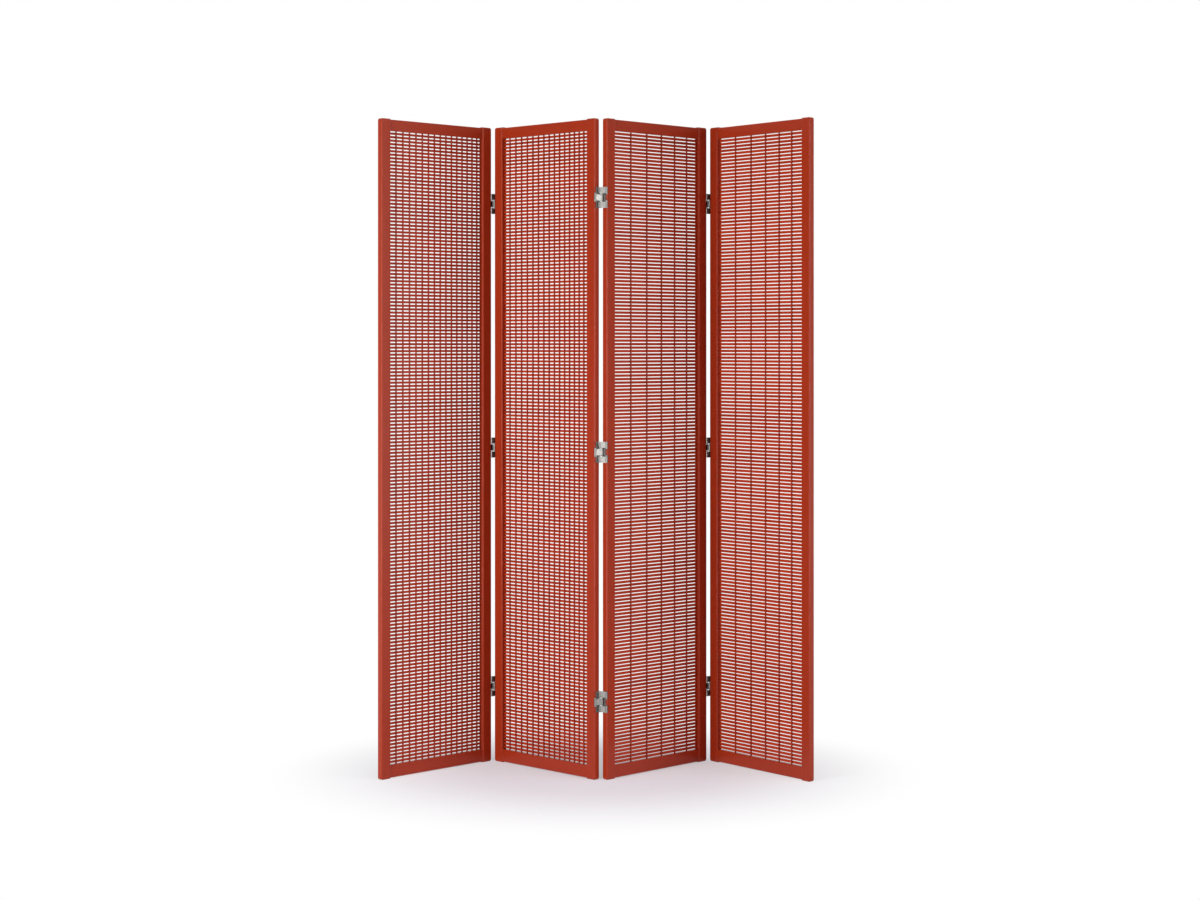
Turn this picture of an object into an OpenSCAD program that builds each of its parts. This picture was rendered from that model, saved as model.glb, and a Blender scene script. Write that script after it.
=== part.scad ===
// Folding screen of four lattice panels, joined by double-action cross-link hinges.
// X runs along the screen, Y away from the side that it is looked at from, Z up.
// The origin is the middle of the standing screen's footprint, on the floor.
// Lengths are in millimetres and angles in degrees.

/* [Panels] */
// Height of a panel
panel_h = 1800; // [1200:10:2200]
// Width of a panel, over both stiles
panel_w = 400; // [320:5:560]
// Thickness of the stiles, from front to back
stile_t = 18; // [17:0.5:24]
// Width of a stile's face
stile_w = 32; // [26:1:60]
// Radius along the long edges of a stile
stile_edge_r = 3; // [1:0.5:6]
// Radius of a stile's outer corner at its two ends, seen from the front
stile_end_r = 6; // [2:1:12]
// Height of the top rail
rail_top_h = 31; // [29:1:80]
// Height of the bottom rail
rail_bottom_h = 35; // [29:1:120]
// Thickness of both rails, from front to back
rail_t = 14; // [12:0.5:16]
// Radius along the edges of a rail
rail_edge_r = 2; // [0.5:0.5:4]
// How far the stiles stand past the rails, at the top and at the floor
horn = 2; // [0:0.5:10]

/* [Joinery] */
// Diameter of the dowels between rail and stile
dowel_d = 8; // [6:0.5:9]
// Length of a dowel
dowel_l = 36; // [24:2:44]
// Distance between the two dowels of a corner
dowel_gap = 12; // [10:1:14]
// Room between a dowel and its hole, all round
dowel_fit = 0.1; // [0.05:0.05:0.2]
// Room past each end of a dowel
dowel_end = 1; // [0.5:0.5:2]

/* [Lattice] */
// Height of a slat in the two panels with the close lattice
slat_h_close = 6.3; // [3:0.1:8]
// Height of a slat in the two panels with the open lattice
slat_h_open = 7; // [3:0.1:8]
// Thickness of a slat, from front to back
slat_t = 3; // [2:0.5:4]
// Height of the slit between two slats of the close lattice, about
slat_gap_close = 3.3; // [2:0.1:10]
// Height of the slit between two slats of the open lattice, about
slat_gap_open = 2.6; // [2:0.1:10]
// Width of a batten
batten_w = 4; // [3:0.5:8]
// Thickness of a batten, from front to back
batten_t = 3; // [2:0.5:4]
// Battens in the two panels with the close lattice
battens_close = 15; // [3:1:19]
// Battens in the two panels with the open lattice
battens_open = 5; // [1:1:12]
// Crowding of the battens towards the right in the close lattice, where 0 is even spacing
crowd_close = 0.18; // [0:0.02:0.4]
// Crowding of the battens towards the right in the open lattice
crowd_open = 0.25; // [0:0.02:0.4]
// Depth of the grooves that take the ends of slats and battens
groove_d = 5; // [3:0.5:8]
// Room between a slat or batten and the walls of its groove
groove_fit = 0.1; // [0.05:0.05:0.3]
// Room between the end of a slat or batten and the bottom of its groove
groove_end = 0.4; // [0.1:0.1:1]

/* [Hinges] */
// Height of a hinge
hinge_h = 57; // [48:1:90]
// Centre of the top hinge below the top of the panel
hinge_top = 216; // [100:2:400]
// Centre of the bottom hinge above the floor
hinge_bottom = 212; // [100:2:400]
// Centre of the middle hinge below the middle of the panel
hinge_mid_drop = 9; // [-60:1:60]
// Outer diameter of the hinge barrels
barrel_d = 6; // [5.4:0.2:6.6]
// Diameter of the hinge pins
pin_d = 2; // [1.6:0.1:2.2]
// Height of the middle link
link_mid_h = 17; // [12:1:24]
// Height of each barrel that belongs to a leaf
knuckle_h = 3; // [2:0.5:5]
// Thickness of the link plates
link_t = 1.4; // [1:0.1:1.6]
// Thickness of the leaves, which lie flush in the stile edges
leaf_t = 1.5; // [1:0.1:2]
// Distance from the stile's edge out to the pins
pin_out = 1.2; // [1.1:0.1:2]
// Distance from the stile's front and back faces in to the pins
pin_in = 1; // [0:0.1:1.2]
// Gap between the barrels of the two leaves when the screen is folded up
closed_gap = 0.3; // [0.3:0.1:1]
// Room between neighbouring barrels on a pin
play = 0.2; // [0.1:0.05:0.3]
// Room between a pin and the link that turns on it, all round
pin_run = 0.06; // [0.03:0.01:0.1]
// Room between a pin and the leaf barrel that holds it, all round
pin_fit = 0.02; // [0.01:0.01:0.05]
// Room round the pin at the free end of an outer link
pin_slop = 1.25; // [1.1:0.05:1.4]
// Room between the barrels and the wood round them
relief = 0.3; // [0.2:0.1:0.8]

/* [Screws] */
// Diameter of a screw's head
screw_head_d = 5.4; // [4:0.2:6]
// Diameter of a screw's shank
screw_d = 2.8; // [2:0.2:3.6]
// Length of a screw
screw_l = 16; // [10:1:20]
// Room between a screw and the wood or metal round it
screw_fit = 0.05; // [0.02:0.01:0.1]
// Width of the slots in a screw's cross recess
recess_w = 0.7; // [0.4:0.1:1]
// Length of the slots in a screw's cross recess
recess_l = 3; // [2:0.2:3.6]
// Depth of a screw's cross recess
recess_d = 1.1; // [0.5:0.1:1.4]

/* [Standing] */
// Angle between panels 1 and 2, which open to the front
fold_12 = 91; // [60:1:115]
// Angle between panels 2 and 3, which open to the back
fold_23 = 91; // [60:1:115]
// Angle between panels 3 and 4, which open to the front
fold_34 = 85; // [60:1:115]
// Angle of panel 1 to the line along the screen
turn = 44; // [30:1:60]

/* [Hidden] */
PANELS = [1, 2, 3, 4];
LINES = [12, 23, 34];

lacquer = [0.62, 0.20, 0.11];
lattice_red = [0.60, 0.14, 0.08];
bare_wood = [0.80, 0.66, 0.46];
nickel = [0.74, 0.73, 0.71];
steel = [0.60, 0.60, 0.62];
round_fn = 48;
// Overlap of cuts and joined shapes past a face, so that no face is left doubled
eps = 0.5;

// Panel
opening_w = panel_w - 2 * stile_w;
grille_z0 = horn + rail_bottom_h;
grille_z1 = panel_h - horn - rail_top_h;
grille_h = grille_z1 - grille_z0;
rail_y0 = (stile_t - rail_t) / 2;
batten_y0 = (stile_t - batten_t - slat_t) / 2;
slat_y0 = batten_y0 + batten_t;

// Lattice: the slits of a panel come out equal, as near to their set height as whole slats allow
slat_h = [slat_h_close, slat_h_close, slat_h_open, slat_h_open];
slat_gap = [slat_gap_close, slat_gap_close, slat_gap_open, slat_gap_open];
slit_n = [for (p = [0:3]) round((grille_h + slat_h[p]) / (slat_h[p] + slat_gap[p]))];
slat_pitch = [for (p = [0:3]) (grille_h + slat_h[p]) / slit_n[p]];
tongue = groove_d - groove_end;
batten_n = [battens_close, battens_close, battens_open, battens_open];
crowd = [crowd_close, crowd_close, crowd_open, crowd_open];

// Hinge: the two links cross, and each is as long as its pins are apart when folded flat
barrel_r = barrel_d / 2;
pin_r = pin_d / 2;
pin_ys = [pin_in, stile_t - pin_in];
pin_span = stile_t - 2 * pin_in;
link_l = pin_span + barrel_d + closed_gap;
cove_r = barrel_r + pin_slop + relief;
strip_y0 = pin_in + cove_r;
strip_w = stile_t - 2 * strip_y0;
knuckle_z = link_mid_h / 2 + play;
outer_z = knuckle_z + knuckle_h + play;
outer_link_h = hinge_h / 2 - outer_z;
hinge_zs = [hinge_bottom, panel_h / 2 - hinge_mid_drop, panel_h - hinge_top];
screw_zs = [-outer_z - outer_link_h / 2, 0, outer_z + outer_link_h / 2];

// A fold that opens to the back is the mirror image of one that opens to the front
folds = [fold_12, fold_23, fold_34];
opens_front = [true, false, true];
// Angle of a link to the left panel's thickness when the panels stand at the angle fold
function link_angle(fold) = fold / 2 - asin(pin_span / link_l * sin(fold / 2));
function turned(p, a) = [p[0] * cos(a) - p[1] * sin(a), p[0] * sin(a) + p[1] * cos(a)];

// Depth of the middle link's pin on the left panel, and of the pin on the right panel that it holds
function left_pin_y(i) = opens_front[i] ? stile_t - pin_in : pin_in;
function right_pin_y(i) = stile_t - left_pin_y(i);
// Where the right panel's pin lies at the end of the middle link, in the left panel's own frame
function link_end(i) =
    [panel_w + pin_out + link_l * sin(link_angle(folds[i])),
     left_pin_y(i) + (opens_front[i] ? -1 : 1) * link_l * cos(link_angle(folds[i]))];
function yaw_step(i) = (opens_front[i] ? -1 : 1) * (180 - folds[i]);
function yaw(k) = k == 1 ? turn : yaw(k - 1) + yaw_step(k - 2);
function corner(k) = k == 1 ? [0, 0] :
    corner(k - 1) + turned(link_end(k - 2), yaw(k - 1)) - turned([-pin_out, right_pin_y(k - 2)], yaw(k));

// Footprint, from the rounded stile corners and the barrels, to bring the origin to its middle
function placed(k, p) = corner(k) + turned(p, yaw(k));
round_spots = [for (k = PANELS, x = [stile_edge_r, panel_w - stile_edge_r],
                    y = [stile_edge_r, stile_t - stile_edge_r]) [placed(k, [x, y]), stile_edge_r]];
pin_spots = [for (k = PANELS, y = pin_ys)
                 each [if (k > 1) [placed(k, [-pin_out, y]), barrel_r],
                       if (k < 4) [placed(k, [panel_w + pin_out, y]), barrel_r]]];
spots = concat(round_spots, pin_spots);
function low(axis) = min([for (s = spots) s[0][axis] - s[1]]);
function high(axis) = max([for (s = spots) s[0][axis] + s[1]]);
middle = [(low(0) + high(0)) / 2, (low(1) + high(1)) / 2];
// Positions of the pins that the joints turn on, in the part's own frame
function pin_at(k, right, y) = placed(k, [right ? panel_w + pin_out : -pin_out, y]) - middle;

module in_panel(k)
    translate(concat(placed(k, [0, 0]) - middle, 0)) rotate([0, 0, yaw(k)]) children();

// Frame in which x points out of the stile's edge, y from its front face to its back and z up
module at_edge(k, right)
    in_panel(k) if (right) translate([panel_w, 0, 0]) children(); else mirror([1, 0, 0]) children();

module rounded_square(w, d, r) {
    translate([r, 0]) square([w - 2 * r, d]);
    translate([0, r]) square([w, d - 2 * r]);
    for (x = [r, w - r], y = [r, d - r]) translate([x, y]) circle(r, $fn = round_fn);
}

// Bar along z with all four long edges rounded
module bar(w, d, h, r)
    linear_extrude(h) rounded_square(w, d, r);

// Rails

// Dowel holes or dowels of one corner: along x, in the rail's height
module dowel_pair(z0, h, r, l)
    for (dz = [-0.5, 0.5])
        translate([-l / 2, stile_t / 2, z0 + h / 2 + dz * dowel_gap])
            rotate([0, 90, 0]) cylinder(r = r, h = l, $fn = round_fn);

module dowel_holes(z0, h)
    for (x = [stile_w, panel_w - stile_w])
        translate([x, 0, 0]) dowel_pair(z0, h, dowel_d / 2 + dowel_fit, dowel_l + 2 * dowel_end);

// Batten grooves in the face of a rail at height z, cut up or down
module batten_slots(k, z0)
    for (n = [1:batten_n[k - 1]])
        translate([batten_x(k, n) - groove_fit, batten_y0 - groove_fit, z0])
            cube([batten_w + 2 * groove_fit, batten_t + 2 * groove_fit, groove_d + eps]);

module rail_bar(z0, h)
    translate([stile_w, rail_y0, z0])
        translate([0, 0, h]) rotate([0, 90, 0]) bar(h, rail_t, opening_w, rail_edge_r);

module rail_top(k)
    color(lacquer) in_panel(k) difference() {
        rail_bar(grille_z1, rail_top_h);
        dowel_holes(grille_z1, rail_top_h);
        batten_slots(k, grille_z1 - eps);
    }

module rail_bottom(k)
    color(lacquer) in_panel(k) difference() {
        rail_bar(horn, rail_bottom_h);
        dowel_holes(horn, rail_bottom_h);
        batten_slots(k, grille_z0 - groove_d);
    }

module dowels(k)
    color(bare_wood) in_panel(k)
        for (x = [stile_w, panel_w - stile_w]) translate([x, 0, 0]) {
            dowel_pair(horn, rail_bottom_h, dowel_d / 2, dowel_l);
            dowel_pair(grille_z1, rail_top_h, dowel_d / 2, dowel_l);
        }

// Lattice

// Left side of batten n of a panel
function batten_x(k, n) =
    let (along = n / (batten_n[k - 1] + 1))
    stile_w + opening_w * along * (1 + crowd[k - 1] * (1 - along)) - batten_w / 2;

module slats(k) {
    h = slat_h[k - 1];
    color(lattice_red) in_panel(k)
        for (n = [1:slit_n[k - 1] - 1])
            translate([stile_w - tongue, slat_y0, grille_z0 + n * slat_pitch[k - 1] - h])
                cube([opening_w + 2 * tongue, slat_t, h]);
}

module battens(k)
    color(lacquer) in_panel(k)
        for (n = [1:batten_n[k - 1]])
            translate([batten_x(k, n), batten_y0, grille_z0 - tongue])
                cube([batten_w, batten_t, grille_h + 2 * tongue]);

// Stiles, drawn in the edge frame: the outer edge is at x = 0 and the wood lies at x < 0

// Outline of a stile seen from the front, with its two outer corners rounded
module stile_outline()
    translate([-stile_w, 0]) {
        square([stile_w - stile_end_r, panel_h]);
        translate([0, stile_end_r]) square([stile_w, panel_h - 2 * stile_end_r]);
        for (z = [stile_end_r, panel_h - stile_end_r])
            translate([stile_w - stile_end_r, z]) circle(stile_end_r, $fn = round_fn);
    }

module slat_groove()
    translate([-stile_w - eps, slat_y0 - groove_fit, grille_z0])
        cube([groove_d + eps, slat_t + 2 * groove_fit, grille_h]);

// Room for one hinge: a rebate for the leaf, a cove for each row of barrels, and screw holes
module hinge_seat() {
    translate([-leaf_t, -eps, -hinge_h / 2]) cube([leaf_t + eps, stile_t + 2 * eps, hinge_h]);
    for (y = pin_ys)
        translate([pin_out, y, -hinge_h / 2 - relief])
            cylinder(r = cove_r, h = hinge_h + 2 * relief, $fn = round_fn);
    for (z = screw_zs)
        translate([-screw_l - screw_fit, stile_t / 2, z])
            rotate([0, 90, 0]) cylinder(r = screw_d / 2 + screw_fit, h = screw_l, $fn = round_fn);
}

module stile(hinged)
    difference() {
        intersection() {
            translate([-stile_w, 0, 0]) bar(stile_w, stile_t, panel_h, stile_edge_r);
            translate([0, stile_t, 0]) rotate([90, 0, 0]) linear_extrude(stile_t) stile_outline();
        }
        slat_groove();
        translate([-stile_w, 0, 0]) {
            dowel_pair(horn, rail_bottom_h, dowel_d / 2 + dowel_fit, dowel_l + 2 * dowel_end);
            dowel_pair(grille_z1, rail_top_h, dowel_d / 2 + dowel_fit, dowel_l + 2 * dowel_end);
        }
        if (hinged) for (z = hinge_zs) translate([0, 0, z]) hinge_seat();
    }

module stile_left(k)
    color(lacquer) at_edge(k, false) stile(k > 1);

module stile_right(k)
    color(lacquer) at_edge(k, true) stile(k < 4);

// Hinges, drawn in the edge frame about the hinge's middle height. own_y is the depth of the
// pin that holds the middle link, and the pins of the outer links stand near the other face.

module at_hinges(i, right)
    at_edge(i + (right ? 2 : 1), !right) for (z = hinge_zs) translate([0, 0, z]) children();

module up_and_down()
    for (s = [0, 1]) mirror([0, 0, s]) children();

module leaf()
    difference() {
        union() {
            translate([-leaf_t, strip_y0, -hinge_h / 2]) cube([leaf_t, strip_w, hinge_h]);
            up_and_down() {
                translate([-leaf_t, 0, knuckle_z]) cube([leaf_t, stile_t, knuckle_h]);
                for (y = pin_ys)
                    translate([pin_out, y, knuckle_z]) cylinder(r = barrel_r, h = knuckle_h, $fn = round_fn);
            }
        }
        for (y = pin_ys)
            translate([pin_out, y, -hinge_h])
                cylinder(r = pin_r + pin_fit, h = 2 * hinge_h, $fn = round_fn);
        for (z = screw_zs) translate([0, stile_t / 2, z]) screw_space();
    }

module pins(own_y) {
    translate([pin_out, own_y, -knuckle_z - knuckle_h])
        cylinder(r = pin_r, h = 2 * (knuckle_z + knuckle_h), $fn = round_fn);
    up_and_down()
        translate([pin_out, stile_t - own_y, knuckle_z])
            cylinder(r = pin_r, h = hinge_h / 2 - knuckle_z, $fn = round_fn);
}

// Depth of the cone under a screw's head, which has a right angle
function cone_h() = (screw_head_d - screw_d) / 2;

module screw_shape(grow) {
    rotate([0, -90, 0]) cylinder(r1 = screw_head_d / 2 + grow, r2 = screw_d / 2 + grow, h = cone_h(), $fn = round_fn);
    rotate([0, -90, 0]) cylinder(r = screw_d / 2 + grow, h = screw_l - screw_d, $fn = round_fn);
}

// Hole for a screw, whose head lies just under the leaf's face
module screw_space() {
    screw_shape(screw_fit);
    translate([-screw_fit, 0, 0]) rotate([0, 90, 0])
        cylinder(r = screw_head_d / 2 + screw_fit, h = screw_fit + eps, $fn = round_fn);
}

module screw()
    difference() {
        union() {
            screw_shape(0);
            translate([screw_d - screw_l, 0, 0]) rotate([0, -90, 0])
                cylinder(r1 = screw_d / 2, r2 = 0, h = screw_d - screw_fit, $fn = round_fn);
        }
        for (a = [0, 90]) rotate([a, 0, 0])
            translate([-recess_d, -recess_l / 2, -recess_w / 2]) cube([recess_d + eps, recess_l, recess_w]);
    }

module screws()
    for (z = screw_zs) translate([-screw_fit, stile_t / 2, z]) screw();

// Link between two pins, drawn from its first pin at the origin along x, from height 0 up
module link(h, first_r, second_r)
    difference() {
        union() {
            cylinder(r = barrel_r, h = h, $fn = round_fn);
            translate([link_l, 0, 0]) cylinder(r = barrel_r, h = h, $fn = round_fn);
            translate([0, -link_t / 2, 0]) cube([link_l, link_t, h]);
        }
        translate([0, 0, -eps]) cylinder(r = first_r, h = h + 2 * eps, $fn = round_fn);
        translate([link_l, 0, -eps]) cylinder(r = second_r, h = h + 2 * eps, $fn = round_fn);
    }

// Link at all three hinges of a line, from one pin's place to another's
module links(from, to, z0, h, both, second_r)
    for (z = hinge_zs, s = both ? [0, 1] : [0])
        translate([from[0], from[1], z]) mirror([0, 0, s])
            rotate([0, 0, atan2(to[1] - from[1], to[0] - from[0])])
                translate([0, 0, z0]) link(h, pin_r + pin_run, second_r);

module middle_links(i)
    color(nickel) links(pin_at(i + 1, true, left_pin_y(i)), pin_at(i + 2, false, right_pin_y(i)),
                        -link_mid_h / 2, link_mid_h, false, pin_r + pin_run);

module outer_links(i)
    color(nickel) links(pin_at(i + 1, true, right_pin_y(i)), pin_at(i + 2, false, left_pin_y(i)),
                        outer_z, outer_link_h, true, pin_r + pin_slop);

for (k = PANELS) {
    stile_left(k);
    stile_right(k);
    rail_top(k);
    rail_bottom(k);
    slats(k);
    battens(k);
    dowels(k);
}
for (i = [0, 1, 2]) {
    color(nickel) at_hinges(i, false) leaf();
    color(nickel) at_hinges(i, true) leaf();
    color(steel) at_hinges(i, false) screws();
    color(steel) at_hinges(i, true) screws();
    color(steel) at_hinges(i, false) pins(left_pin_y(i));
    color(steel) at_hinges(i, true) pins(right_pin_y(i));
    middle_links(i);
    outer_links(i);
}
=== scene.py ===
"""Looks of a folding screen: four lacquered lattice panels on cross-link hinges.

Lengths are in metres. A panel's own frame has x along the panel from its left edge, y from
its front face back and z up. Panels are counted from the left, and a hinge line is called
after the two panels that it joins, as in 12.
"""

import math
import random

import bpy
import numpy as np
from mathutils import Matrix, Vector


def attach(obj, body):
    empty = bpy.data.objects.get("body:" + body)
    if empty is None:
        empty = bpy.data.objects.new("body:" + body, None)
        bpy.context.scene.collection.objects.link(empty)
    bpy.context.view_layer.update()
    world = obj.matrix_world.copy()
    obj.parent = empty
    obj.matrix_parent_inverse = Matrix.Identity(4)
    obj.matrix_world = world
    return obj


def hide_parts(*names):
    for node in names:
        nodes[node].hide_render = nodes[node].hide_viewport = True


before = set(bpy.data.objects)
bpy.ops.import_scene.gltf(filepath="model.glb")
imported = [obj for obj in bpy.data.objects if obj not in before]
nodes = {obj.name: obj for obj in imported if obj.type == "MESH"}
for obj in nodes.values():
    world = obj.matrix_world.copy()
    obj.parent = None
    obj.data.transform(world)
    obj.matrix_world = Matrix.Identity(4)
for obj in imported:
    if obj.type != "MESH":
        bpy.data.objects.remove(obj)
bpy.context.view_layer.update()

PANELS = (1, 2, 3, 4)
LINES = (12, 23, 34)

# Rounded and eased edges
STILE_EDGE_R = 0.0031
STILE_END_R = 0.006
RAIL_EDGE_R = 0.002
SLAT_EASE = 0.0002
BATTEN_EASE = 0.0004
METAL_EASE = 0.00018

# Room in a groove beside a stick and past its end
GROOVE_ROOM = 0.0001
GROOVE_END_ROOM = 0.0004

# Rebate and coves in a stile's edge. The middle of a pin lies PIN_OUT outside the edge and
# PIN_IN behind the face of the stile.
LEAF_T = 0.0015
PIN_OUT = 0.0012
PIN_IN = 0.001
COVE_R = 0.00455
COVE_ROOM = 0.0003
COVE_SIDES = 48

# More than the height of a hinge, and less than the step from one hinge to the next
HINGE_REACH = 0.2

# How far a cutter passes the wood that it cuts
GROOVE_OVERCUT = 0.001
HINGE_OVERCUT = 0.01

# Each slat lies a hair off true. SLAT_TILT and SLAT_SLOPE are the spread of its turn about its
# length and of its slope, in degrees, and SLAT_LIFT is the most that it is off in height.
SLAT_TILT = 0.3
SLAT_SLOPE = 0.005
SLAT_LIFT = 0.00003

# Most that a piece's colour goes towards the dark one of its lacquer, from 0 to 1
FRAME_TONE = 0.2
SLAT_TONE = 1.0
BATTEN_TONE = 0.7

# Least and greatest distance into the wood at which a piece's grain starts
GRAIN_STARTS = (1, 50)

# How finely the patterns vary along each axis of the wood or the metal, in spots to the metre
FIBRES = (3.5, 260, 260)
PORES = (12, 900, 900)
BRUSHING = (300, 300, 6000)

# Colour of the metal's handling marks, as a share of its own
MARK_SHADE = 0.78

# Camera, set to the photograph's view in a frame of 1200 by 900. FOCAL_PX and HORIZON_Y are in
# that frame's pixels, SENSOR in millimetres and CAMERA_YAW in degrees.
PHOTO_W = 1200
PHOTO_H = 900
FOCAL_PX = 2204
HORIZON_Y = 345.4
SENSOR = 36
CAMERA_PLACE = (-0.0531, -6.1212, 1.1816)
CAMERA_YAW = -0.628

# Light of the room on the screen, and how much brighter its gloss sees that room
ROOM_LEFT = 0.07
ROOM_RIGHT = 0.13
ROOM_SHINE = 1.5

FLOOR_COLOUR = (0.86, 0.83, 0.95)
FLOOR_SIZE = 60

# Every run throws the same numbers
dice = random.Random(7)


# Helpers


def deselect():
    bpy.ops.object.select_all(action="DESELECT")


def choose(*objects):
    """Selects only these objects, the first of them active."""
    deselect()
    for obj in objects:
        obj.select_set(True)
    bpy.context.view_layer.objects.active = objects[0]


def joined(parts, name):
    """One object made of several, each of which has its own mesh."""
    choose(*parts)
    bpy.ops.object.join()
    parts[0].name = name
    return parts[0]


def apply_modifier(obj, kind, **settings):
    modifier = obj.modifiers.new(kind.title(), kind)
    for key, value in settings.items():
        setattr(modifier, key, value)
    choose(obj)
    bpy.ops.object.modifier_apply(modifier=modifier.name)


def cut(obj, cutters):
    """Takes the cutters out of obj and removes them."""
    tool = joined(cutters, "cutter")
    apply_modifier(
        obj, "BOOLEAN", operation="DIFFERENCE", object=tool, solver="EXACT", use_self=True
    )
    bpy.data.objects.remove(tool)


def same(*numbers):
    """Whether the lengths are equal to within a hundredth of a millimetre."""
    return max(numbers) - min(numbers) < 1e-5


def round_edges(obj, radius, segments, test):
    """Rounds the edges whose two ends together pass the test."""
    choose(obj)
    bpy.ops.object.mode_set(mode="EDIT")
    bpy.ops.mesh.select_mode(type="EDGE")
    bpy.ops.mesh.select_all(action="DESELECT")
    bpy.ops.object.mode_set(mode="OBJECT")
    points = obj.data.vertices
    for edge in obj.data.edges:
        edge.select = test(*(points[i].co for i in edge.vertices))
    bpy.ops.object.mode_set(mode="EDIT")
    bpy.ops.mesh.bevel(offset=radius, segments=segments, affect="EDGES")
    bpy.ops.object.mode_set(mode="OBJECT")


def block(low, high, name="block"):
    """A box between two corners, its place in its mesh."""
    low, high = Vector(low), Vector(high)
    bpy.ops.mesh.primitive_cube_add(size=1, location=(low + high) / 2)
    obj = bpy.context.object
    obj.name = name
    obj.scale = high - low
    choose(obj)
    bpy.ops.object.transform_apply(location=True, rotation=True, scale=True)
    return obj


def cove_rod(x, y, z0, z1):
    """An upright rod that cuts the coves round a row of barrels, its place in its mesh."""
    bpy.ops.mesh.primitive_cylinder_add(
        vertices=COVE_SIDES, radius=COVE_R, depth=z1 - z0, location=(x, y, (z0 + z1) / 2)
    )
    obj = bpy.context.object
    obj.name = "cove_rod"
    choose(obj)
    bpy.ops.object.transform_apply(location=True, rotation=True, scale=True)
    return obj


def copy_of(obj, name):
    twin = obj.copy()
    twin.data = obj.data.copy()
    twin.name = name
    bpy.context.scene.collection.objects.link(twin)
    return twin


def smooth(obj, angle):
    """Shades the rounded edges smooth and leaves the broad faces flat."""
    choose(obj)
    bpy.ops.object.shade_smooth_by_angle(angle=math.radians(angle))
    apply_modifier(obj, "WEIGHTED_NORMAL", keep_sharp=True)


def write_grain(obj, along, tone):
    """Stores each point's place in the wood, the grain's direction first, and the piece's tone."""
    mesh = obj.data
    points = np.array([v.co for v in mesh.vertices], float)
    order = {"x": (0, 1, 2), "z": (2, 0, 1)}[along]
    grain = points[:, order] + dice.uniform(*GRAIN_STARTS)
    field = mesh.attributes.new("grain", "FLOAT_VECTOR", "POINT")
    field.data.foreach_set("vector", grain.astype(np.float32).ravel())
    shade = mesh.attributes.new("tone", "FLOAT", "POINT")
    shade.data.foreach_set("value", np.full(len(points), tone, np.float32))


def paint(obj, material):
    obj.data.materials.clear()
    obj.data.materials.append(material)


def dress(obj, node, body, material):
    """Paints a finished piece and says which node it stands for and what carries it."""
    obj.name = node + "_made"
    paint(obj, material)
    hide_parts(node)
    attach(obj, body)


# Places read from the frame


def points_of(node):
    return np.array([v.co for v in nodes[node].data.vertices], float)


def panel_place(k):
    """Matrix from panel k's own frame to the part's frame, found from its slats and left stile."""
    flat = points_of(f"slats_{k}")[:, :2]
    along = np.linalg.svd(flat - flat.mean(0), full_matrices=False)[2][0]
    along *= np.sign(along[0])
    turn = Matrix.Rotation(math.atan2(along[1], along[0]), 4, "Z")
    own = [turn.inverted() @ v.co for v in nodes[f"stile_left_{k}"].data.vertices]
    corner = Vector((min(p.x for p in own), min(p.y for p in own), 0))
    return Matrix.Translation(turn @ corner) @ turn


places = {k: panel_place(k) for k in PANELS}


def own_points(node, k):
    """The node's points in panel k's own frame, as rows."""
    back = np.array(places[k].inverted())
    return points_of(node) @ back[:3, :3].T + back[:3, 3]


def own_box(node, k):
    points = own_points(node, k)
    return Vector(points.min(0)), Vector(points.max(0))


def pairs(numbers):
    """The different numbers among these, to a hundredth of a millimetre, taken two by two."""
    marks = sorted(set(np.round(numbers, 5)))
    return [(marks[i], marks[i + 1]) for i in range(0, len(marks), 2)]


def spans(node, k, axis):
    """Lowest and highest place of each stick of a row of sticks, along one axis of the panel."""
    return pairs(own_points(node, k)[:, axis])


def hinge_heights(j):
    """Middle height of each hinge of a line, found from its middle links."""
    return [(low + high) / 2 for low, high in pairs(points_of(f"middle_links_{j}")[:, 2])]


def hinge_tall(j):
    """Height of a hinge, found from the lowest leaf of its line."""
    z = np.sort(points_of(f"leaves_left_{j}")[:, 2])
    lowest = z[z < z[0] + HINGE_REACH]
    return lowest[-1] - lowest[0]


# Materials


def new_material(name):
    material = bpy.data.materials.new(name)
    material.use_nodes = True
    tree = material.node_tree
    shader = tree.nodes["Principled BSDF"]
    return material, tree, shader


def add(tree, kind, **values):
    node = tree.nodes.new(kind)
    for key, value in values.items():
        if key in node.inputs:
            node.inputs[key].default_value = value
        else:
            setattr(node, key, value)
    return node


def stretched(tree, source, scale):
    """Coordinates from source with each axis scaled by itself."""
    mapping = add(tree, "ShaderNodeMapping", Scale=scale)
    tree.links.new(source, mapping.inputs["Vector"])
    return mapping.outputs["Vector"]


def noise(tree, vector, scale=1.0, detail=2, rough=0.5):
    node = add(tree, "ShaderNodeTexNoise", Scale=scale, Detail=detail, Roughness=rough)
    tree.links.new(vector, node.inputs["Vector"])
    return node.outputs["Fac"]


def ranged(tree, value, low, high):
    """The value brought from 0..1 to low..high."""
    node = add(tree, "ShaderNodeMapRange")
    node.inputs["To Min"].default_value = low
    node.inputs["To Max"].default_value = high
    tree.links.new(value, node.inputs["Value"])
    return node.outputs["Result"]


def soft_step(tree, value, start, end, low=0.0, high=1.0):
    """Goes gently from low to high while the value goes from start to end."""
    node = add(tree, "ShaderNodeMapRange", interpolation_type="SMOOTHSTEP")
    node.inputs["From Min"].default_value = start
    node.inputs["From Max"].default_value = end
    node.inputs["To Min"].default_value = low
    node.inputs["To Max"].default_value = high
    tree.links.new(value, node.inputs["Value"])
    return node.outputs["Result"]


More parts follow.
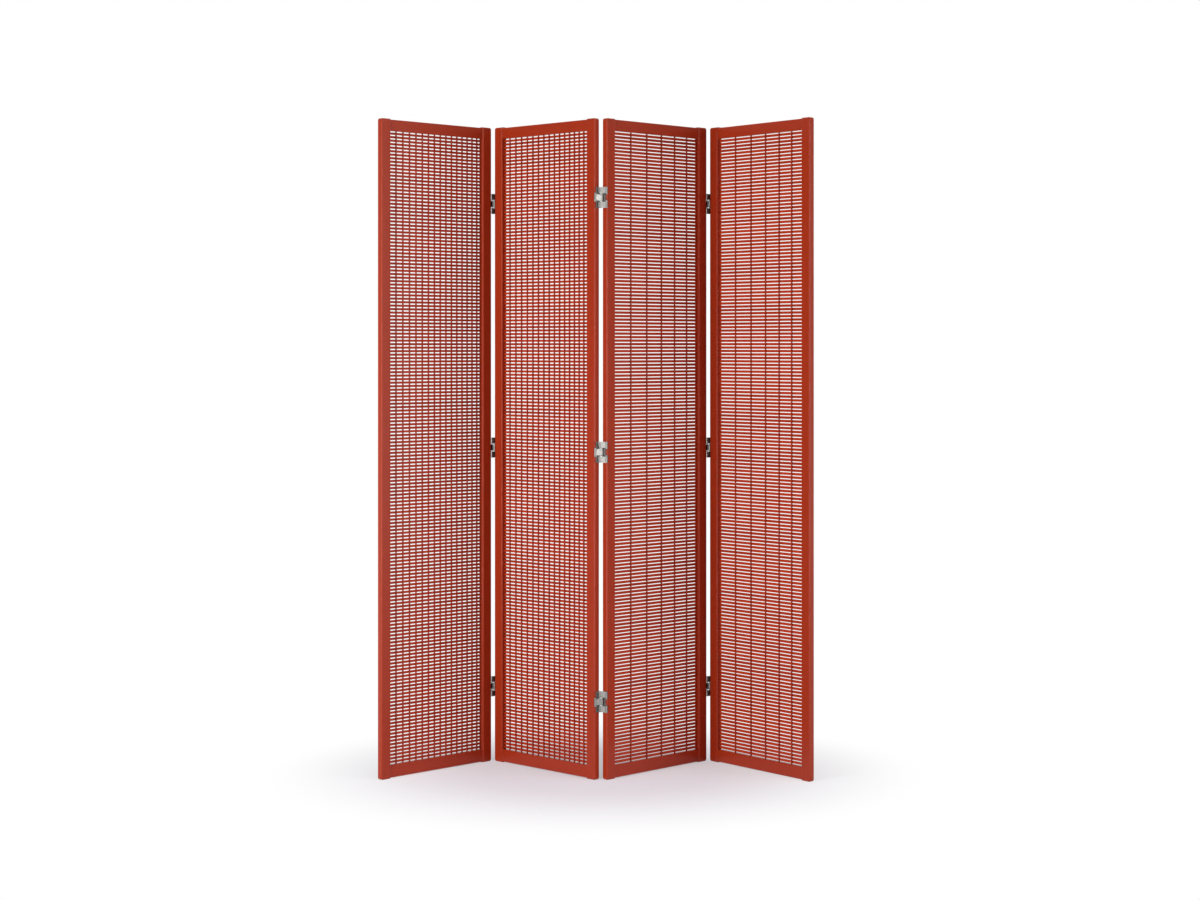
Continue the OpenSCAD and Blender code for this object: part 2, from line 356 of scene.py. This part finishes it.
def blended(tree, amount, one, two):
    """A colour between two colours, by an amount from 0 to 1. A colour is a tuple or a socket."""
    mix = add(tree, "ShaderNodeMix", data_type="RGBA")
    tree.links.new(amount, mix.inputs["Factor"])
    # The node has an A, a B and a Result of each data type, and these are the ones for colour
    colour_a, colour_b, result = mix.inputs[6], mix.inputs[7], mix.outputs[2]
    for socket, colour in ((colour_a, one), (colour_b, two)):
        if isinstance(colour, tuple):
            socket.default_value = (*colour, 1)
        else:
            tree.links.new(colour, socket)
    return result


def bumped(tree, height, strength, distance, under=None):
    """A surface normal roughened by height, on top of another one if that is given."""
    bump = add(tree, "ShaderNodeBump", Strength=strength, Distance=distance)
    tree.links.new(height, bump.inputs["Height"])
    if under is not None:
        tree.links.new(under, bump.inputs["Normal"])
    return bump.outputs["Normal"]


def linear(r, g, b):
    """A colour given as 0 to 255 display values."""
    return tuple(
        c / 12.92 if c <= 0.04045 else ((c + 0.055) / 1.055) ** 2.4
        for c in (r / 255, g / 255, b / 255)
    )


def lacquered_wood(name, light, dark, roughness=0.34, coat=0.25):
    """Coloured lacquer over wood: faint grain along the piece, cloudy colour and soft gloss."""
    material, tree, shader = new_material(name)
    grain = add(tree, "ShaderNodeAttribute", attribute_name="grain").outputs["Vector"]
    tone = add(tree, "ShaderNodeAttribute", attribute_name="tone").outputs["Fac"]
    fibres = noise(tree, stretched(tree, grain, FIBRES), detail=5, rough=0.6)
    clouds = noise(tree, grain, scale=9.0, detail=3)
    wood = blended(tree, fibres, dark, light)
    cloudy = blended(tree, ranged(tree, clouds, low=0.0, high=0.35), wood, light)
    tree.links.new(blended(tree, tone, cloudy, dark), shader.inputs["Base Color"])
    gloss = ranged(tree, clouds, low=roughness - 0.05, high=roughness + 0.07)
    tree.links.new(gloss, shader.inputs["Roughness"])
    shader.inputs["Specular IOR Level"].default_value = 0.16
    shader.inputs["Coat Weight"].default_value = coat
    shader.inputs["Coat Roughness"].default_value = 0.16
    shader.inputs["Coat IOR"].default_value = 1.5
    pores = noise(tree, stretched(tree, grain, PORES))
    peel = noise(tree, grain, scale=420)
    grained = bumped(tree, pores, strength=0.12, distance=0.0002)
    coated = bumped(tree, peel, strength=0.06, distance=0.0002, under=grained)
    tree.links.new(coated, shader.inputs["Normal"])
    return material


def metal(name, colour, roughness):
    """Plated metal with faint brushing and handling marks."""
    material, tree, shader = new_material(name)
    place = add(tree, "ShaderNodeTexCoord").outputs["Object"]
    marks = noise(tree, place, scale=160, detail=4)
    darker = tuple(c * MARK_SHADE for c in colour)
    marked = blended(tree, ranged(tree, marks, low=0.0, high=0.9), darker, colour)
    tree.links.new(marked, shader.inputs["Base Color"])
    shader.inputs["Metallic"].default_value = 1.0
    gloss = ranged(tree, marks, low=roughness - 0.08, high=roughness + 0.12)
    tree.links.new(gloss, shader.inputs["Roughness"])
    brushed = noise(tree, stretched(tree, place, BRUSHING))
    tree.links.new(bumped(tree, brushed, strength=0.1, distance=0.0001), shader.inputs["Normal"])
    return material


def plain_wood(name, light, dark):
    """Bare turned beech, for the dowels."""
    material, tree, shader = new_material(name)
    place = add(tree, "ShaderNodeTexCoord").outputs["Object"]
    fleck = noise(tree, place, scale=300, detail=4)
    tree.links.new(blended(tree, fleck, dark, light), shader.inputs["Base Color"])
    shader.inputs["Roughness"].default_value = 0.6
    return material


frame_lacquer = lacquered_wood("frame_lacquer", linear(174, 56, 24), linear(160, 45, 19))
slat_lacquer = lacquered_wood(
    "slat_lacquer", linear(203, 64, 24), linear(168, 46, 17), roughness=0.42, coat=0.12
)
batten_lacquer = lacquered_wood("batten_lacquer", linear(172, 54, 24), linear(148, 40, 18))
hinge_nickel = metal("hinge_nickel", linear(150, 148, 145), roughness=0.34)
pin_steel = metal("pin_steel", linear(142, 142, 144), roughness=0.32)
dowel_wood = plain_wood("dowel_wood", linear(222, 194, 150), linear(200, 168, 122))


# Wood


def hinge_cutters(edge_x, out, thick, heights, tall):
    """What a stile loses to its hinges: a rebate for each leaf and coves for its barrels."""
    tools = []
    for z in heights:
        inner, outer = sorted((edge_x - out * LEAF_T, edge_x + out * HINGE_OVERCUT))
        tools.append(
            block(
                (inner, -HINGE_OVERCUT, z - tall / 2),
                (outer, thick + HINGE_OVERCUT, z + tall / 2),
            )
        )
        for y in (PIN_IN, thick - PIN_IN):
            z0, z1 = z - tall / 2 - COVE_ROOM, z + tall / 2 + COVE_ROOM
            tools.append(cove_rod(edge_x + out * PIN_OUT, y, z0, z1))
    return tools


def slat_channel(k, side, low, high):
    """The groove in a stile that takes the ends of the slats."""
    slat_low, slat_high = own_box(f"slats_{k}", k)
    opening_top = own_box(f"rail_top_{k}", k)[0].z
    opening_bottom = own_box(f"rail_bottom_{k}", k)[1].z
    if side == "left":
        inner, outer = slat_low.x - GROOVE_END_ROOM, high.x + GROOVE_OVERCUT
    else:
        inner, outer = low.x - GROOVE_OVERCUT, slat_high.x + GROOVE_END_ROOM
    return block(
        (inner, slat_low.y - GROOVE_ROOM, opening_bottom),
        (outer, slat_high.y + GROOVE_ROOM, opening_top),
    )


def finish_wood(obj, k, node, material):
    """Moves a piece of wood from panel k's own frame to its place in the part, and dresses it."""
    obj.data.transform(places[k])
    dress(obj, node, f"panel_{k}", material)


def make_stile(k, side):
    node = f"stile_{side}_{k}"
    low, high = own_box(node, k)
    thick = (high - low).y
    faces = (low.y, high.y)
    out = -1 if side == "left" else 1
    edge_x = low.x if side == "left" else high.x
    obj = block(low, high, node)
    round_edges(
        obj, STILE_END_R, segments=8,
        test=lambda a, b: same(a.x, b.x, edge_x) and same(a.z, b.z),
    )
    round_edges(
        obj, STILE_EDGE_R, segments=6,
        test=lambda a, b: any(same(a.y, b.y, y) for y in faces),
    )
    tools = [slat_channel(k, side, low, high)]
    line = k - 1 if side == "left" else k
    if 1 <= line <= len(LINES):  # the screen's two outer stiles carry no hinges
        j = LINES[line - 1]
        tools += hinge_cutters(edge_x, out, thick, hinge_heights(j), hinge_tall(j))
    cut(obj, tools)
    smooth(obj, angle=40)
    write_grain(obj, "z", FRAME_TONE * dice.random())
    finish_wood(obj, k, node, frame_lacquer)


def make_rail(k, end):
    node = f"rail_{end}_{k}"
    low, high = own_box(node, k)
    obj = block(low, high, node)
    round_edges(obj, RAIL_EDGE_R, segments=5, test=lambda a, b: not same(a.x, b.x))
    batten_low, batten_high = own_box(f"battens_{k}", k)
    y0, y1 = batten_low.y - GROOVE_ROOM, batten_high.y + GROOVE_ROOM
    if end == "top":
        z0, z1 = low.z - GROOVE_OVERCUT, batten_high.z + GROOVE_END_ROOM
    else:
        z0, z1 = batten_low.z - GROOVE_END_ROOM, high.z + GROOVE_OVERCUT
    tools = [
        block((x0 - GROOVE_ROOM, y0, z0), (x1 + GROOVE_ROOM, y1, z1))
        for x0, x1 in spans(f"battens_{k}", k, 0)
    ]
    cut(obj, tools)
    smooth(obj, angle=40)
    write_grain(obj, "x", FRAME_TONE * dice.random())
    finish_wood(obj, k, node, frame_lacquer)


def eased_stick(low, high, ease, segments):
    obj = block(low, high, "stick")
    round_edges(obj, ease, segments, test=lambda a, b: True)
    return obj


def make_slats(k):
    """All the slats of a panel: one is shaped, and each copy lies a little differently."""
    node = f"slats_{k}"
    low, high = own_box(node, k)
    rows = spans(node, k, 2)
    tall = rows[0][1] - rows[0][0]
    model = eased_stick(
        (low.x, low.y, -tall / 2), (high.x, high.y, tall / 2), SLAT_EASE, segments=1
    )
    middle = Vector(((low.x + high.x) / 2, (low.y + high.y) / 2, 0))
    copies = []
    for z0, z1 in rows:
        twin = copy_of(model, "slat")
        tilt = math.radians(dice.gauss(0, SLAT_TILT))
        slope = math.radians(dice.gauss(0, SLAT_SLOPE))
        turn = Matrix.Rotation(tilt, 4, "X") @ Matrix.Rotation(slope, 4, "Y")
        height = (z0 + z1) / 2 + dice.uniform(-SLAT_LIFT, SLAT_LIFT)
        write_grain(twin, "x", dice.random() ** 2 * SLAT_TONE)
        twin.data.transform(
            Matrix.Translation(Vector((0, 0, height))) @ Matrix.Translation(middle) @ turn
            @ Matrix.Translation(-middle)
        )
        copies.append(twin)
    bpy.data.objects.remove(model)
    obj = joined(copies, node)
    smooth(obj, angle=50)
    finish_wood(obj, k, node, slat_lacquer)


def make_battens(k):
    """All the battens of a panel, copied from one."""
    node = f"battens_{k}"
    low, high = own_box(node, k)
    columns = spans(node, k, 0)
    wide = columns[0][1] - columns[0][0]
    model = eased_stick(
        (-wide / 2, low.y, low.z), (wide / 2, high.y, high.z), BATTEN_EASE, segments=2
    )
    copies = []
    for x0, x1 in columns:
        twin = copy_of(model, "batten")
        write_grain(twin, "z", dice.random() ** 2 * BATTEN_TONE)
        twin.data.transform(Matrix.Translation(Vector(((x0 + x1) / 2, 0, 0))))
        copies.append(twin)
    bpy.data.objects.remove(model)
    obj = joined(copies, node)
    smooth(obj, angle=50)
    finish_wood(obj, k, node, batten_lacquer)


deselect()
for k in PANELS:
    for side in ("left", "right"):
        make_stile(k, side)
    for end in ("top", "bottom"):
        make_rail(k, end)
    make_slats(k)
    make_battens(k)
    paint(nodes[f"dowels_{k}"], dowel_wood)


# Hinges


def eased_metal(node, body, material):
    """A metal part as it leaves the press: the same form with its sharp edges eased."""
    obj = bpy.data.objects.new(node + "_made", nodes[node].data.copy())
    bpy.context.scene.collection.objects.link(obj)
    choose(obj)
    bpy.ops.object.mode_set(mode="EDIT")
    bpy.ops.mesh.select_all(action="SELECT")
    bpy.ops.mesh.remove_doubles(threshold=1e-6)
    bpy.ops.mesh.dissolve_limited(angle_limit=math.radians(0.5))
    bpy.ops.object.mode_set(mode="OBJECT")
    apply_modifier(
        obj, "BEVEL", width=METAL_EASE, segments=2,
        limit_method="ANGLE", angle_limit=math.radians(40),
    )
    smooth(obj, angle=35)
    dress(obj, node, body, material)


for j in LINES:
    for side, k in (("left", j // 10), ("right", j % 10)):
        eased_metal(f"leaves_{side}_{j}", f"panel_{k}", hinge_nickel)
        eased_metal(f"pins_{side}_{j}", f"panel_{k}", pin_steel)
        eased_metal(f"screws_{side}_{j}", f"panel_{k}", pin_steel)
    for kind in ("middle_links", "outer_links"):
        eased_metal(f"{kind}_{j}", f"{kind}_{j}", hinge_nickel)


# Floor, light and camera


def math_of(tree, operation, one, two):
    node = add(tree, "ShaderNodeMath", operation=operation)
    tree.links.new(one, node.inputs[0])
    tree.links.new(two, node.inputs[1])
    return node.outputs["Value"]


def mixed_shader(tree, amount, one, two):
    mix = add(tree, "ShaderNodeMixShader")
    tree.links.new(amount, mix.inputs["Fac"])
    tree.links.new(one, mix.inputs[1])
    tree.links.new(two, mix.inputs[2])
    return mix.outputs["Shader"]


def seen_directly(tree, path):
    """1 for what the camera sees, in a mirror or through glass as well, and 0 for stray light."""
    shown = math_of(tree, "ADD", path.outputs["Is Camera Ray"], path.outputs["Is Glossy Ray"])
    return math_of(tree, "ADD", shown, path.outputs["Is Transmission Ray"])


def studio_floor():
    """A pale floor that keeps the screen's soft shadow, is painted darker near the screen and
    fades to white away from it.
    """
    bpy.ops.mesh.primitive_plane_add(size=FLOOR_SIZE, location=(0, 0, 0))
    floor = bpy.context.object
    floor.name = "floor"
    material, tree, shader = new_material("floor")
    shader.inputs["Base Color"].default_value = (*FLOOR_COLOUR, 1)
    shader.inputs["Roughness"].default_value = 0.8
    shader.inputs["Specular IOR Level"].default_value = 0.1
    place = add(tree, "ShaderNodeTexCoord").outputs["Object"]
    reach = add(tree, "ShaderNodeVectorMath", operation="LENGTH")
    tree.links.new(stretched(tree, place, (0.9, 1, 1)), reach.inputs[0])
    # Painted shade: near the screen less of the white is mixed in, so the floor there is darker
    # even where no shadow falls. This is a painted soft shadow round the screen, on top of its
    # real one.
    painted_shade_fade = soft_step(tree, reach.outputs["Value"], start=0.25, end=0.85, low=0.36)
    path = add(tree, "ShaderNodeLightPath")
    amount = math_of(tree, "MULTIPLY", painted_shade_fade, seen_directly(tree, path))
    white = add(tree, "ShaderNodeEmission", Color=(1, 1, 1, 1), Strength=1)
    faded = mixed_shader(tree, amount, shader.outputs["BSDF"], white.outputs["Emission"])
    tree.links.new(faded, tree.nodes["Material Output"].inputs["Surface"])
    floor.data.materials.append(material)


def studio_world():
    """White behind the screen. The room that lights it is brighter at the right."""
    world = bpy.data.worlds.new("studio")
    bpy.context.scene.world = world
    world.use_nodes = True
    tree = world.node_tree
    tree.nodes.clear()
    output = add(tree, "ShaderNodeOutputWorld")
    axes = add(tree, "ShaderNodeSeparateXYZ")
    tree.links.new(add(tree, "ShaderNodeTexCoord").outputs["Generated"], axes.inputs["Vector"])
    path = add(tree, "ShaderNodeLightPath")
    room = soft_step(tree, axes.outputs["X"], start=-0.7, end=1.0, low=ROOM_LEFT, high=ROOM_RIGHT)
    shine = ranged(tree, path.outputs["Is Glossy Ray"], low=1.0, high=ROOM_SHINE)
    light = add(tree, "ShaderNodeBackground", Color=(1, 1, 1, 1))
    tree.links.new(math_of(tree, "MULTIPLY", room, shine), light.inputs["Strength"])
    behind = soft_step(tree, axes.outputs["Y"], start=0.0, end=0.3)
    mirrored = math_of(tree, "MULTIPLY", behind, seen_directly(tree, path))
    shown = math_of(tree, "MAXIMUM", mirrored, path.outputs["Is Camera Ray"])
    white = add(tree, "ShaderNodeBackground", Color=(1, 1, 1, 1), Strength=1)
    lit = mixed_shader(tree, shown, light.outputs["Background"], white.outputs["Background"])
    tree.links.new(lit, output.inputs["Surface"])


def soft_lamp(name, place, aim, size, power):
    data = bpy.data.lights.new(name, "AREA")
    data.shape = "RECTANGLE"
    data.size, data.size_y = size
    data.energy = power
    lamp = bpy.data.objects.new(name, data)
    lamp.location = place
    lamp.rotation_euler = (Vector(aim) - Vector(place)).to_track_quat("-Z", "Y").to_euler()
    bpy.context.scene.collection.objects.link(lamp)


def photo_camera():
    data = bpy.data.cameras.new("camera")
    data.sensor_fit = "HORIZONTAL"
    data.sensor_width = SENSOR
    data.lens = FOCAL_PX / PHOTO_W * SENSOR
    data.shift_y = -(PHOTO_H / 2 - HORIZON_Y) / PHOTO_W
    camera = bpy.data.objects.new("camera", data)
    camera.location = CAMERA_PLACE
    camera.rotation_euler = (math.radians(90), 0, math.radians(CAMERA_YAW))
    bpy.context.scene.collection.objects.link(camera)
    bpy.context.scene.camera = camera


studio_floor()
studio_world()
soft_lamp("key", place=(-2.2, -2.4, 1.1), aim=(-0.1, 0, 0.95), size=(1.2, 2.2), power=74)
soft_lamp("side", place=(3.9, -2.1, 1.4), aim=(0, 0, 0.95), size=(2.6, 2.4), power=80)
soft_lamp("top", place=(0, -0.2, 5.0), aim=(0, 0, 0), size=(3.0, 3.0), power=90)
photo_camera()
bpy.context.scene.view_settings.view_transform = "Standard"
